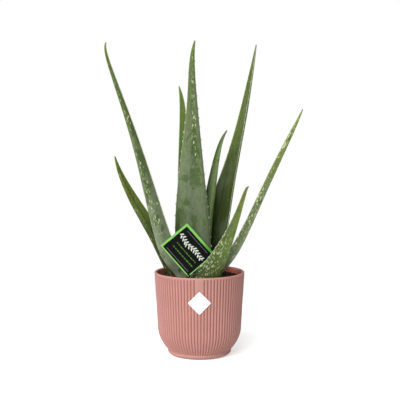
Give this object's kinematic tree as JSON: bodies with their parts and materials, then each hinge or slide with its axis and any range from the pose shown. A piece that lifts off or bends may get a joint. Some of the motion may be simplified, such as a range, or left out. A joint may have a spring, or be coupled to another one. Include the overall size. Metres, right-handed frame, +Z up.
{
  "type": "potted aloe plant",
  "caption": "Young aloe with long tapering toothed leaves growing from soil in a round plastic pot with fine upright folds, with a plain plant label.",
  "frame": {"origin": "centre of the pot's flat underside, on the surface that it stands on", "axes": "+Z up along the pot's axis; -Y is the pot's front, with the sticker and the label; +X is to the right as seen from the front"},
  "size_m": [0.2967, 0.1587, 0.4861],
  "materials": {
    "pot_plastic": "satin moulded plastic, dusty pink",
    "soil": "damp black-brown potting soil with brown fibres",
    "stem": "pale fibrous stem and roots",
    "leaf": "fleshy grey-green leaf with a waxy bloom and pale flecks",
    "label": "satin black card with a green border",
    "sticker": "smooth white paper"
  },
  "bodies": {
    "root": {"pot": "pot_plastic", "soil": "soil", "crown_and_roots": "stem", "leaf_front_right": "leaf", "leaf_far_left": "leaf", "leaf_far_right": "leaf", "leaf_front_centre": "leaf", "leaf_left_short": "leaf", "leaf_back_right": "leaf", "leaf_inner_curved": "leaf", "leaf_back_centre": "leaf", "plant_label": "label", "pot_sticker": "sticker"}
  },
  "joints": []
}
